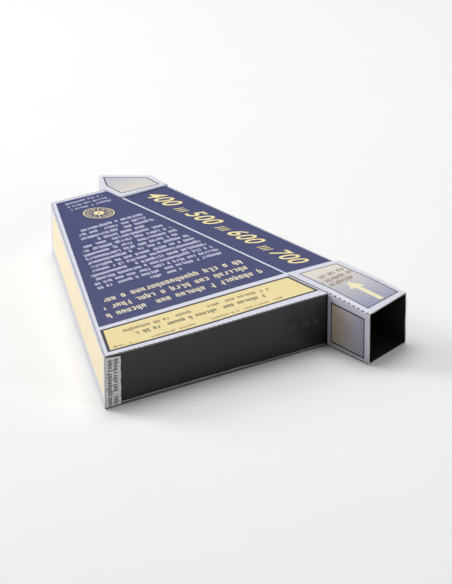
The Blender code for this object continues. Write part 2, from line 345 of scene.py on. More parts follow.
def polygon(paint, corners, across=None, up=None):
    """The distance to a convex outline, negative inside. Its corners run anticlockwise."""
    across = paint.x if across is None else across
    up = paint.y if up is None else up
    distance = None
    for start, end in zip(corners, corners[1:] + corners[:1]):
        run = Vector(end) - Vector(start)
        run.normalize()
        edge = across * run.y - up * run.x - (start[0] * run.y - start[1] * run.x)
        distance = edge if distance is None else distance.most(edge)
    return distance


def greek(paint, along, up, row, x_height, advance, slant=0.28, gaps=0.14, weight=1.0):
    """Marks that stand for a row of small print: made-up letter shapes in word-like groups.

    along and up are the place in the row. Each letter is advance wide and x_height high, and
    gaps is the share of cells left empty.
    """
    leaned = along - up * slant
    cell = (leaned / advance).floor()
    across = (leaned / advance).fract()
    share = up / x_height
    first = paint.chance(cell, row)
    second = paint.chance(cell, row + 0.31)
    third = paint.chance(cell, row + 0.57)
    tall = first.over(0.76) * 0.5 + 1.0
    deep = (1 - first.over(0.12)) * -0.42
    soft = 0.14

    def stroke(place, middle, half):
        return (place - middle).abs().below(half * weight, soft)

    left_stem = stroke(across, 0.26, 0.15) * share.between(-0.04, tall, soft)
    right_stem = stroke(across, 0.73, 0.14) * share.between(deep, 0.96, soft)
    right_stem = right_stem * second.over(0.24)
    arch = stroke(share, 0.92, 0.10) * third.over(0.4)
    foot = stroke(share, 0.07, 0.10) * (1 - third.over(0.6))
    bars = arch.most(foot) * across.between(0.2, 0.84, soft)
    marks = left_stem.most(right_stem).most(bars)
    return marks * paint.chance(cell, row + 0.83).over(gaps)


def rows(paint, first, pitch, count, lean, x_height, advance, left, right, short=-1, weight=1.0):
    """Rows of small print that read towards -x, their tops towards the front.

    first is the first baseline's y at x = 0, lean how far the rows sink per millimetre to the
    left. left and right bound the print; the row numbered short is cut in at both ends.
    """
    above_baseline = 0.62
    most_ragged = 2.2
    cut_in = 8.5
    level = paint.y - paint.x * lean
    row = ((level - first + above_baseline * pitch) / pitch).floor()
    up = row * pitch + first - level
    ragged = paint.chance(row, 3.7) * most_ragged
    cut = (row - short).abs().below(0.5, 0.01) * cut_in
    mask = greek(paint, -paint.x, up, row, x_height, advance, weight=weight)
    mask = mask * row.between(-0.5, count - 0.5, 0.01)
    return mask * (paint.x - left - ragged - cut).above(0) * (paint.x + cut).below(right)


# ---------------- piece builder


SHARP_ANGLE = math.radians(40)
BEVEL_ANGLE = math.radians(50)


def add_piece(name, points, faces, looks, nodes=()):
    """A mesh piece in plan millimetres. Each face is (corner indices, index into looks)."""
    mesh = bpy.data.meshes.new(name)
    mesh.from_pydata([plan(*point) for point in points], [], [face for face, _ in faces])
    for look in looks:
        mesh.materials.append(LOOKS[look])
    mesh.polygons.foreach_set("material_index", [look for _, look in faces])
    mesh.validate()
    mesh.shade_smooth()
    mesh.set_sharp_from_angle(angle=SHARP_ANGLE)
    piece = bpy.data.objects.new(name, mesh)
    bpy.context.scene.collection.objects.link(piece)
    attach(piece, BODY)
    if nodes:
        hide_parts(*nodes)
    return piece


def soften(piece, width):
    """Rounds a piece's cut edges, width in millimetres."""
    bevel = piece.modifiers.new("soft_edges", "BEVEL")
    bevel.width = width * MM
    bevel.segments = 2
    bevel.limit_method = "ANGLE"
    bevel.angle_limit = BEVEL_ANGLE
    return piece


def slab(name, corners, offset, looks, nodes=(), steps=(1, 1), warp=None, soft=0.12):
    """A closed panel over four corners, swept by offset. looks are outer face, inner face, edge.

    warp(u, v) gives a shift of both faces at shares u and v of the way across.
    """
    first, second, third, fourth = (Vector(corner) for corner in corners)
    across, down = steps
    outer = []
    for j in range(down + 1):
        v = j / down
        for i in range(across + 1):
            u = i / across
            point = first.lerp(second, u).lerp(fourth.lerp(third, u), v)
            if warp:
                point = point + Vector(warp(u, v))
            outer.append(point)
    count = len(outer)
    points = outer + [point + Vector(offset) for point in outer]
    row = across + 1
    faces = []
    for j in range(down):
        for i in range(across):
            a = j * row + i
            quad = (a, a + 1, a + 1 + row, a + row)
            faces.append((quad, 0))
            faces.append((tuple(reversed([k + count for k in quad])), 1))
    rim = list(range(row)) + [j * row + across for j in range(1, down + 1)]
    rim += [down * row + i for i in range(across - 1, -1, -1)]
    rim += [j * row for j in range(down - 1, 0, -1)]
    for a, b in zip(rim, rim[1:] + rim[:1]):
        faces.append(((b, a, a + count, b + count), 2))
    piece = add_piece(name, points, faces, looks, nodes)
    return soften(piece, soft) if soft else piece


# ---------------- surface looks


# The upper panel's printed fields: their corners, anticlockwise from the front left
FAN_FIELD = [(-102.0, 28.2), (0.0, 30.8), (-0.25, 168.4), (-28.8, 168.6)]
CHANNEL_FIELD = [(1.12, 30.8), (26.6, 30.8), (26.6, 169.0), (0.9, 169.0)]
LABEL_FIELD = [(-115.0, 3.0), (-60.0, 3.3), (-0.8, 5.2), (-0.8, 27.2), (-103.5, 25.3)]


def arrow(paint, tip, tail, half_width):
    """A printed arrow as a mask, its head a third of its length and its shaft a third as wide."""
    tip, tail = Vector(tip), Vector(tail)
    run = tail - tip
    side = Vector((-run.y, run.x)).normalized() * half_width
    neck = tip + run / 3
    head = [tip, neck - side, neck + side]
    shaft = [neck + side / 3, neck - side / 3, tail - side / 3, tail + side / 3]
    return polygon(paint, head).least(polygon(paint, shaft)).below(0)


def case_top_look():
    """Dark blue fields with greeked print, and the label strip along the front."""
    paint = Paint("case_top_print", PAPER, 0.5)
    for field in (FAN_FIELD, CHANNEL_FIELD):
        paint.lay(polygon(paint, field).below(0), NAVY)
    label = polygon(paint, LABEL_FIELD)
    label_border = 1.35
    paint.lay(label.below(0), INK)
    paint.lay(label.below(-label_border), YELLOW)

    rise = (BACK_LEFT - FRONT_LEFT) / LENGTH
    fan_edge = paint.y * rise + (FAN_FIELD[0][0] - FAN_FIELD[0][1] * rise)
    large = rows(paint, 41.2, pitch=7.7, count=3, lean=0.03, x_height=3.3, advance=2.7,
                 left=fan_edge + 5.0, right=-6.2, weight=0.82)
    paint.lay(large, CREAM)
    heading = rows(paint, 64.9, pitch=9, count=1, lean=0.03, x_height=2.0, advance=1.7,
                   left=-50.5, right=-33.0)
    paint.lay(heading, PAPER)
    body = rows(paint, 69.9, pitch=4.52, count=15, lean=0.036, x_height=2.2, advance=1.62,
                left=fan_edge + 4.6, right=-5.5, short=11, weight=0.84)
    paint.lay(body * 0.93, SMALL_PRINT)
    notes = rows(paint, 157.9, pitch=4.05, count=3, lean=0.02, x_height=1.5, advance=1.3,
                 left=-28.5, right=-5.0, weight=0.8)
    paint.lay(notes * 0.86, SMALL_PRINT)

    line = {"pitch": 9, "count": 1, "lean": 0.024}
    upper = rows(paint, 21.9, x_height=2.0, advance=1.7, left=-96.5, right=-16.4, **line)
    paint.lay(upper * (1 - paint.x.between(-58.5, -51.0)), BROWN)
    middle = rows(paint, 16.9, x_height=2.3, advance=1.9, left=-93.0, right=-22.6, **line)
    paint.lay(middle, INK)
    lower = rows(paint, 9.2, x_height=1.1, advance=1.0, left=-102.0, right=-26.0, **line)
    word = 8.3
    paint.lay(lower * paint.chance((paint.x / word).floor(), 5.0).above(0.35, 0.01), BROWN)
    for tip, tail in (((-110.2, 6.3), (-104.6, 6.5)), ((-17.8, 8.6), (-23.4, 8.4))):
        paint.lay(arrow(paint, tip, tail, 0.75), INK)

    across = (paint.x / DASH_PERIOD).fract()
    along = (paint.y / DASH_PERIOD).fract()
    paint.lay(paint.y.below(0.35) * across.below(0.5), FOLD_SHADE)
    paint.lay(paint.y.above(LENGTH - 1.1) * across.below(0.6), FOLD_SHADE)
    paint.lay(paint.x.above(RIGHT - 1.15) * along.below(0.6), FOLD_SHADE)
    card_surface(paint)
    return paint.done()


def case_wall_look(name, along, length, margin=PAPER, cream=WALL_CREAM):
    """A cream field with pale margins, over a wall of that length. along(paint) runs along it."""
    paint = Paint(name, margin, 0.5)
    lengthwise = along(paint).between(3.0, length - 6.0, 0.3)
    upright = paint.z.between(4.6, HEIGHT - 2.2, 0.3)
    paint.lay(lengthwise * upright, cream)
    card_surface(paint)
    return paint.done()


def plain_look(name, colour, roughness=0.75, fibre=0.05, specular=0.5):
    """Unprinted card: fibres, faint clouds and a soft tooth."""
    paint = Paint(name, colour, roughness, specular=specular)
    fibres = paint.noise(0.7, 4.0, stretch=(1, 0.25, 1))
    paint.shade(fibres, 2.5 * fibre)
    paint.shade(paint.noise(12.0, 3.0), fibre)
    paint.relief(fibres, 0.03)
    paint.roughness(fibres, roughness - 0.1, roughness + 0.1)
    return paint.done()


def edge_look():
    """The cut edge of card: pale core in fine layers."""
    paint = Paint("cut_card_edge", CORE, 0.85)
    layers = paint.noise(0.12, 2.0)
    paint.shade(layers, 0.35)
    paint.relief(layers, 0.04)
    return paint.done()


def hatched(paint, outline, across, up, reach, ground, lines, cover, tilt, pitch, border):
    """A hood's print: an outlined field of fine slanting lines that thicken along reach.

    ground and lines are colour pairs for the two ends, cover the lines' share of each end,
    tilt their angle in degrees, pitch their spacing and border the width of the outline.
    """
    softness = 0.16
    distance = polygon(paint, outline, across, up)
    inside = distance.below(0)
    paint.lay(inside, paint.mixed(reach, *ground))
    ink = paint.mixed(reach, *lines)
    wobble = paint.noise(9.0, 1.0) * 0.12
    angle = math.radians(tilt)
    phase = (across * -math.sin(angle) + up * math.cos(angle)) / pitch + wobble
    half = (reach * (cover[1] - cover[0]) + cover[0]) / 2
    stripe = (half - (phase.fract() - 0.5).abs()) / softness + 0.5
    paint.lay(stripe.clamped() * inside, ink)
    paint.lay((distance + border / 2).abs().below(border / 2), INK)


def film_look():
    """Glossy near-black film: smoky, darker at its right end, with painted shade towards its bottom, a
    painted highlight at its upper right and the ghost of a row of figures.
    """
    ghost_base = 11.3
    highlight_width = 45.0
    band_lean = 0.22
    paint = Paint("scale_film_gloss", srgb(43, 43, 45), 0.3, coat=0.12, specular=0.3)
    haze = paint.noise(35.0, 3.0, stretch=(1, 1, 0.6))
    scuffs = paint.noise(1.2, 4.0, stretch=(0.15, 1, 1))
    ghost = greek(paint, paint.x, paint.z - ghost_base, 1.0, x_height=2.2, advance=2.2,
                  slant=-0.1, weight=0.7)
    paint.lay(ghost * paint.x.between(-21.0, -4.5) * 0.22, GHOST_AND_HIGHLIGHT_GREY)
    # Painted highlight: the film lightens towards its upper right.
    corner = ((paint.x + highlight_width) / highlight_width).clamped() * ((paint.z - 6.0) / 16.0).clamped()
    paint.lay(corner * 0.15, GHOST_AND_HIGHLIGHT_GREY)
    # A slanting band at the right end, a little darker.
    right_band = paint.x + (paint.z - HEIGHT) * band_lean
    paint.shade(right_band.below(-7.2, 0.7), 0.14)
    # Painted shade: the film darkens towards its bottom, where it mirrors the shaded floor by the base.
    paint.shade((paint.z / HEIGHT).clamped(), 0.5)
    paint.shade(haze, 0.3)
    paint.relief(scuffs, 0.004)
    paint.roughness(scuffs, 0.22, 0.42)
    return paint.done()


def tab_look():
    """Grey card tab with two upright rows of greeked print."""
    paint = Paint("grey_tab_print", srgb(208, 210, 212), 0.8)
    fibres = paint.noise(0.6, 4.0)
    for base, row in ((-115.4, 4.0), (-112.4, 9.0)):
        up = base - paint.x
        mask = greek(paint, paint.z, up, row, x_height=1.75, advance=1.35, slant=0.1, gaps=0.1)
        paint.lay(mask * paint.z.between(1.0, HEIGHT - 2.2), srgb(34, 34, 38))
    paint.shade(fibres, 0.12)
    paint.relief(fibres, 0.03)
    return paint.done()


def lip_look():
    """Brown-grey card lip, dark as painted shade, with a paler band along its top as a painted highlight
    on its cut edge.
    """
    paint = Paint("lip_card_shade_and_highlight", srgb(95, 89, 83), 0.7)
    fibres = paint.noise(0.7, 4.0, stretch=(0.25, 1, 1))
    # Painted highlight: a paler band along the top stands for the lit cut edge.
    paint.lay(paint.z.above(LIP_TOP - 0.4, 0.2), srgb(136, 130, 120))
    paint.shade(fibres, 0.3)
    paint.relief(fibres, 0.03)
    return paint.done()


def hood_top_look():
    """The light tube's upper face: hatched field, three short rows of print and an arrow."""
    paint = Paint("hood_top_print", PAPER, 0.5)
    outline = [(3.3, -23.9), (26.2, -17.0), (25.2, 25.4), (3.8, 25.4)]
    reach = ((24.0 - paint.y) / 46.0).clamped()
    ground = (srgb(228, 222, 208), srgb(172, 175, 194))
    lines = (srgb(212, 206, 199), srgb(112, 117, 158))
    hatched(paint, outline, paint.x, paint.y, reach, ground, lines,
            cover=(0.26, 0.54), tilt=33.5, pitch=1.21, border=0.6)
    lean = 0.2
    middle = 14.0
    for base, left, right in ((18.0, 7.0, 23.5), (13.2, 4.8, 24.4), (8.4, 5.5, 22.0)):
        up = base - (paint.y - (paint.x - middle) * lean)
        row = greek(paint, -paint.x, up, base, x_height=2.5, advance=1.5, gaps=0.08)
        paint.lay(row * paint.x.between(left, right), HOOD_BROWN)
    paint.lay(arrow(paint, tip=(14.3, 4.8), tail=(15.4, -18.6), half_width=4.1), ARROW_CREAM)
    card_surface(paint)
    return paint.done()


def hood_side_look(name, start, end):
    """The light tube's side: a hatched field from start to end, dark blue in front and tan behind."""
    paint = Paint(name, PAPER, 0.5)
    outline = [(start, 1.6), (end, 2.2), (end, 21.0), (start, 20.5)]
    reach = ((end - 2.0 - paint.y) / (end - start)).clamped()
    ground = (srgb(228, 214, 186), srgb(224, 233, 255))
    lines = (srgb(178, 162, 142), srgb(42, 53, 122))
    hatched(paint, outline, paint.y, paint.z, reach, ground, lines,
            cover=(0.34, 0.66), tilt=-37, pitch=0.84, border=0.7)
    card_surface(paint)
    return paint.done()


def eye_top_look():
    """The eyepiece's upper face: a five-sided hatched field, a grey-blue band of painted shade along its
    front edge and cut dots.
    """
    paint = Paint("eyepiece_print", PAPER, 0.5)
    outline = [(2.4, 159.6), (24.6, 159.4), (25.4, 171.0), (8.8, 184.0), (3.0, 172.8)]
    reach = ((paint.y - 158.0) / 28.0).clamped()
    ground = (srgb(222, 216, 204), srgb(208, 208, 218))
    lines = (srgb(202, 197, 190), srgb(132, 136, 164))
    hatched(paint, outline, paint.x, paint.y, reach, ground, lines,
            cover=(0.36, 0.5), tilt=47, pitch=1.02, border=0.65)
    from_front = paint.y - (EYE_FRONT + (paint.x - EYE_LEFT_X) * EYE_FRONT_SLOPE)
    # Painted shade: a grey-blue band along the front edge stands for the flap that slopes down there.
    paint.lay(from_front.below(1.15, 0.2), SLOPE_SHADE_BLUE)
    front_dots = (from_front - 1.25).abs().below(0.2) * (paint.x / 1.3).fract().below(0.5)
    paint.lay(front_dots, FOLD_SHADE)
    side_dots = paint.x.below(EYE_LEFT_X + 0.45) * (paint.y / 1.6).fract().below(0.5)
    paint.lay(side_dots, FOLD_SHADE)
    card_surface(paint)
    return paint.done()


def clear_look(name, colour, roughness):
    """Clear plastic with a faint ripple."""
    paint = Paint(name, colour, roughness)
    feed(paint.shader, {"Transmission Weight": 1.0, "IOR": 1.49})
    paint.relief(paint.noise(3.0, 2.0), 0.002)
    return paint.done()


LOOKS = {}


def make_looks():
    """Every material of the object, by the name that the pieces ask for."""
    slant = math.hypot(BACK_LEFT - FRONT_LEFT, LENGTH)
    back_length = -BACK_LEFT
    LOOKS.update(
        case_top=case_top_look(),
        case_left=case_wall_look("case_left_print", lambda p: p.y * (slant / LENGTH), slant),
        case_right=case_wall_look("case_right_print", lambda p: p.y, LENGTH),
        # The back wall takes the darker copies of margin and cream: painted shade.
        case_back=case_wall_look("case_back_print_shaded", lambda p: -p.x, back_length, SHADED_BACK_MARGIN, SHADED_BACK_CREAM),
        plain=plain_look("plain_card", srgb(226, 226, 232), 0.7, 0.04),
        edge=edge_look(),
        black=plain_look("black_card", BLACK, 0.8, 0.12, specular=0.25),
        # inner: the hood's inner walls and ceiling, the black card painted lighter as painted light
        # inside the tube
        inner=plain_look("black_card_painted_lighter", srgb(64, 64, 66), 0.75, 0.12, specular=0.3),
        # rim: the upper panel's front cut edge in a darker grey than cut card, as painted shade
        rim=plain_look("shaded_grey_card_rim", srgb(140, 139, 140), 0.85, 0.12),
        film=film_look(),
        tab=tab_look(),
        hood_top=hood_top_look(),
        hood_left=hood_side_look("hood_left_print", -25.8, -2.4),
        hood_right=hood_side_look("hood_right_print", HOOD_RIGHT_FRONT + 2.6, HOOD_BACK - 2.4),
        eye_top=eye_top_look(),
        hood_plain=plain_look("hood_plain_margin", PAPER, 0.5, 0.03),
        # lip: dark card as painted shade, with a painted highlight along its top
        lip=lip_look(),
        # fold: dark grey on the perforations' cut faces, standing for the black inside seen through the
        # cuts and for painted shade in them
        fold=plain_look("perforation", srgb(66, 68, 84), 0.9, 0.1),
        outline=plain_look("number_outline", srgb(44, 38, 52), 0.5, 0.05),
        gold=plain_look("gold_print", GOLD, 0.42, 0.03),
        lens=clear_look("lens_plastic", (0.95, 0.97, 1.0, 1), 0.03),
        grating=clear_look("grating_film_clear", (0.8, 0.85, 0.95, 1), 0.12),
    )


# ---------------- pieces


def ring(left, right, floor, top, radius, top_steps, wall_steps):
    """A rounded rectangle as (x, z, side, fold), from the upper left round over the top.

    side is 0 for the top, 1 right, 2 floor and 3 left; fold is how deep in a fold a point lies.
    """
    points = []
    walk = (
        ((left + radius, top), (right - radius, top), top_steps, 90),
        ((right, top - radius), (right, floor + radius), wall_steps, 0),
        ((right - radius, floor), (left + radius, floor), top_steps, -90),
        ((left, floor + radius), (left, top - radius), wall_steps, -180),
    )
    for side, (start, end, steps, turn) in enumerate(walk):
        for i in range(steps + 1):
            share = i / steps
            x = start[0] + (end[0] - start[0]) * share
            z = start[1] + (end[1] - start[1]) * share
            points.append((x, z, side, 0.0))
        centre_x = right - radius if side in (0, 1) else left + radius
        centre_z = top - radius if side in (0, 3) else floor + radius
        for i in range(1, ARC_STEPS):
            angle = math.radians(turn - 90 * i / ARC_STEPS)
            depth = math.sin(math.pi * i / ARC_STEPS)
            x = centre_x + radius * math.cos(angle)
            z = centre_z + radius * math.sin(angle)
            points.append((x, z, side, depth))
    return points


def case_warp(x, y, z, side):
    """The gentle bow of the case's upper panel (side 0) and left wall (side 3), as a shift."""
    lengthwise = math.sin(math.pi * y / LENGTH)
    if side == 0:
        share = (x - case_left(y)) / (RIGHT - case_left(y))
        crown = 0.45 * math.sin(math.pi * share) * lengthwise
        front_wave = 0.32 * math.sin(2 * math.pi * share) * math.exp(-y / 22)
        return (0, 0, crown - front_wave)
    if side == 3:
        bow = 0.7 * math.sin(math.pi * z / HEIGHT) * lengthwise
        return (-bow, 0.5 * bow, 0)
    return (0, 0, 0)


def dash_stations(start, end, period):
    """Stations along a fold, with True where the perforation is cut through."""
    count = max(1, round((end - start) / period))
    fitted = (end - start) / count
    stations = []
    for i in range(count):
        stations += [(start + (i + share) * fitted, cut) for share, cut in PERFORATION]
    return stations + [(end, False)]


def build_case(cut_depth=0.45, slant=1.13):
    """The folded sheet: upper panel, right wall, floor and slanting left wall, with its folds.

    slant is how much farther along x the left wall's inner face lies for its slope.
    """
    names = ("case_top", "case_right", "plain", "case_left", "black", "fold", "edge", "lip", "rim")
    look = {name: i for i, name in enumerate(names)}
    # Front cut edges by side: the upper panel's in shaded grey, the right wall's in black and the floor's
    # in the dark lip card, all painted shade; the left wall's is plain cut card.
    front_rims = [look[name] for name in ("rim", "black", "lip", "edge")]
    stations = dash_stations(0.0, LENGTH - CARD, DASH_PERIOD)
    points = []
    for inset in (0.0, PLY):
        for y, cut in stations:
            left = case_left(y) + inset * slant
            loop = ring(left, RIGHT - inset, inset, HEIGHT - inset, FOLD - inset, 28, 6)
            for x, z, side, fold in loop:
                dx, dy, dz = case_warp(x, y, z, -1 if fold else side)
                if cut and fold and not inset:
                    x += math.copysign(cut_depth * fold, (left + RIGHT) / 2 - x)
                    z += math.copysign(cut_depth * fold, HEIGHT / 2 - z)
                points.append((x + dx, y + dy, z + dz))
    sides = [(side, fold) for _, _, side, fold in loop]
    width = len(sides)
    count = width * len(stations)
    faces = []
    for j in range(len(stations) - 1):
        cut = stations[j][1] and stations[j + 1][1]
        for i in range(width):
            k = (i + 1) % width
            quad = (j * width + i, (j + 1) * width + i, (j + 1) * width + k, j * width + k)
            in_cut = cut and sides[i][1] and sides[k][1]
            # Cut stations take the perforation's dark grey: the black inside seen through the cuts, and
            # painted shade in them.
            faces.append((quad, look["fold"] if in_cut else sides[i][0]))
            faces.append((tuple(reversed([p + count for p in quad])), look["black"]))
    last = count - width
    for i in range(width):
        k = (i + 1) % width
        faces.append(((k, k + count, i + count, i), front_rims[sides[i][0]]))
        back_rim = (last + i, last + i + count, last + k + count, last + k)
        faces.append((back_rim, look["edge"]))
    nodes = ("body_top_panel", "body_right_wall", "body_bottom_panel", "body_left_wall")
    add_piece("folded_case", points, faces, names, nodes)


def on_case_top(x, y, lift):
    """The point on the case's upper face at x and y, raised by lift."""
    _, _, crown = case_warp(x, y, HEIGHT, 0)
    return x, y, HEIGHT + crown + lift


# Wavelength numbers along the sight channel, read from the back to the front, and their ticks
NUMBERS = ("400", "500", "600", "700")
NUMBER_FIRST = 152.6
NUMBER_PITCH = 32.0
NUMBER_BASE = 10.2
NUMBER_HEIGHT = 9.2
NUMBER_NARROWING = 0.9
CAP_SHARE = 0.69  # a numeral's height as a share of the type's size
LEAN = 0.24
INK_LIFT = 0.03
OUTLINE_SWELL = 0.46
BODY_SWELL = 0.2
TICKS = 3
TICK_FIRST = NUMBER_FIRST - 24.2
TICK_PITCH = 2.3
TICK_HEIGHT = 5.0
TICK_HALF = 0.45
TICK_OUTLINE_HALF = 0.75


def text_shape(body, swell):
    """The flat faces of a line of type as (points, faces), its strokes grown outwards by swell."""
    curve = bpy.data.curves.new("type", "FONT")
    curve.body = body
    curve.size = NUMBER_HEIGHT / CAP_SHARE
    curve.shear = LEAN
    curve.offset = swell
    curve.space_character = 1.08
    text = bpy.data.objects.new("type", curve)
    bpy.context.scene.collection.objects.link(text)
    shown = text.evaluated_get(bpy.context.evaluated_depsgraph_get())
    mesh = bpy.data.meshes.new_from_object(shown)
    points = [(vertex.co.x, vertex.co.y) for vertex in mesh.vertices]
    faces = [tuple(face.vertices) for face in mesh.polygons]
    bpy.data.objects.remove(text, do_unlink=True)
    bpy.data.meshes.remove(mesh)
    return points, faces


def build_numerals(types):
    """Gold wavelength numbers with short ticks between them, along the sight channel.

    types holds, for each number, its outline's shape and its own.
    """
    points = []
    faces = []

    def stamp(shape_points, shape_faces, start, lift, look):
        """Lays a flat shape on the case, its baseline towards the fan and its start at y = start."""
        base = len(points)
        for along, up in shape_points:
            points.append(on_case_top(NUMBER_BASE + up, start - along * NUMBER_NARROWING, lift))
        faces.extend((tuple(base + k for k in face), look) for face in shape_faces)

    for i, (outline, body) in enumerate(types):
        start = NUMBER_FIRST - i * NUMBER_PITCH
        stamp(*outline, start, INK_LIFT / 2, 0)
        stamp(*body, start, INK_LIFT, 1)

    slope = TICK_HEIGHT * LEAN
    for i in range(len(NUMBERS) - 1):
        for k in range(TICKS):
            along = TICK_FIRST - i * NUMBER_PITCH - TICK_PITCH * k
            for half, lift, look in ((TICK_OUTLINE_HALF, INK_LIFT / 2, 0), (TICK_HALF, INK_LIFT, 1)):
                quad = [(-half, 0), (half, 0), (half + slope, TICK_HEIGHT), (slope - half, TICK_HEIGHT)]
                stamp(quad, [(0, 1, 2, 3)], along, lift, look)
    add_piece("scale_numerals", points, faces, ("outline", "gold"))


def build_dial(middle=(-20.4, 145.4), radius=7.4):
    """A gold printed dial: a ring, a pierced disc and fine ticks between them."""
    points = []
    faces = []

    def band(inner, outer, start, end, steps):
        """Part of a flat ring between two angles."""
        base = len(points)
        for i in range(steps + 1):
            angle = start + (end - start) * i / steps
            for reach in (inner, outer):
                x = middle[0] + reach * math.cos(angle)
                y = middle[1] + reach * math.sin(angle)
                points.append(on_case_top(x, y, INK_LIFT))
        for i in range(steps):
            k = base + 2 * i
            faces.append(((k, k + 1, k + 3, k + 2), 0))

    whole = 2 * math.pi
    ticks = 24
    band(radius - 0.6, radius, 0, whole, 72)
    band(0.6, 2.6, 0, whole, 36)
    for i in range(ticks):
        angle = whole * i / ticks
        half, length = (0.035, 1.2) if i % 2 else (0.06, 3.0)
        tick_end = radius - 1.2
        band(tick_end - length, tick_end, angle - half, angle + half, 2)
    add_piece("printed_dial", points, faces, ("gold",))


def flat_looks(outer):
    """The looks of a card panel: its outer face, black inside and its cut edge."""
    return outer, "black", "edge"


def standing(start, end, start_z, end_z):
    """The corners of an upright panel over a plan line: start to end at start_z, then back."""
    return [(*start, start_z), (*end, start_z), (*end, end_z), (*start, end_z)]


def build_back_wall():
    """The back wall, behind the fan."""
    y = LENGTH - CARD + PLY
    corners = standing((0, y), (BACK_LEFT, y), HEIGHT, 0)
    slab("back_wall", corners, (0, -PLY, 0), flat_looks("case_back"),
         ("body_back_wall",), (8, 6), soft=0.22)


def build_film(right=-0.06, thickness=0.4):
    """The dark film across the wide front, with a slight ripple."""
    left = FRONT_LEFT + 2.0
    corners = standing((left, STEP), (right, STEP), STEP, HEIGHT - STEP + 0.2)

    def ripple(u, v):
        wave = math.sin(5.0 * u + 1.0) * math.sin(math.pi * v)
        return (0, 0.10 * wave, 0)

    slab("dark_film", corners, (0, thickness, 0), ("film", "black", "film"),
         ("scale_film",), (60, 10), ripple, 0)


def build_lip(right=-1.0, thickness=0.5):
    """The card lip along the front's lower edge, bent back and torn low towards the tube."""
    corners = standing((TAB_RIGHT + 0.2, 0.02), (right, 0.02), PLY + 0.08, LIP_TOP)

    def lip_height(u, v):
        tired = min(max(0.0, u - 0.58) / 0.14, 1.0)
        return (0, 0.2 * tired * v, -(0.6 * tired + 0.07 * math.sin(31 * u)) * v)

    slab("lower_lip", corners, (0, thickness, 0), ("lip", "plain", "plain"),
         ("front_lower_lip",), (48, 3), lip_height, 0)


def build_glue_tab(thickness=0.55):
    """The grey tab round the front's left end: it lifts in the middle and is torn at its right."""
    left = FRONT_LEFT + 0.45
    right = TAB_RIGHT - 0.5
    face = 0.05
    corners = [(left, face, 0.15), (right, face, 0.15), (right, face, TAB_TOP + 0.2)]
    corners += [(left, face, TAB_TOP + 0.6)]

    def curl(u, v):
        ragged = 0.12 * math.sin(23 * v) + 0.08 * math.sin(57 * v + 1)
        lift = -0.18 * math.sin(math.pi * u) * math.sin(math.pi * v)
        return (ragged * u, lift, -0.5 * u * v)

    slab("glue_tab", corners, (0, thickness, 0), ("tab", "plain", "edge"),
         ("front_glue_tab",), (8, 24), curl, 0.14)


HOOD_TOP_STEPS = 16
HOOD_WALL_STEPS = 10
HOOD_REAR_STEPS = 20
# On the case the hood has only its upper panel and its right wall, down to the wall's lower fold.
LAST_LAPPING = HOOD_TOP_STEPS + HOOD_WALL_STEPS + 2 * ARC_STEPS


def hood_loop(inset, top):
    """The hood's cross-section, inset from its faces, with its upper face at top."""
    radius = FOLD - inset
    return ring(inset, HOOD_RIGHT - inset, inset, top, radius, HOOD_TOP_STEPS, HOOD_WALL_STEPS)


def hood_point(i, inset, share, rear_y, cut_depth):
    """Point i of the hood's cross-section, share of the way from the mouth to the case.

    rear_y is its y on the case, or None in front of it. cut_depth is how far a cut fold sinks in.
    """
    ahead = rear_y is None
    x, _, side, fold = hood_loop(inset, HOOD_TOP)[i]
    y = hood_front(x) * (1 - share) if ahead else rear_y
    top = hood_top(y) - inset
    z = hood_loop(inset, top)[i][1]
    if not ahead and i == 0:
        x = 0.0
    if fold and cut_depth:
        x += math.copysign(cut_depth * fold, HOOD_RIGHT / 2 - x)
        z += math.copysign(cut_depth * fold, top / 2 - z)
    if ahead and share == 0:
        y += fray(x, z)
    if ahead and share == 1 and side in (2, 3) and not fold:
        y = min(y, -GAP / 2)
    return x, y, z


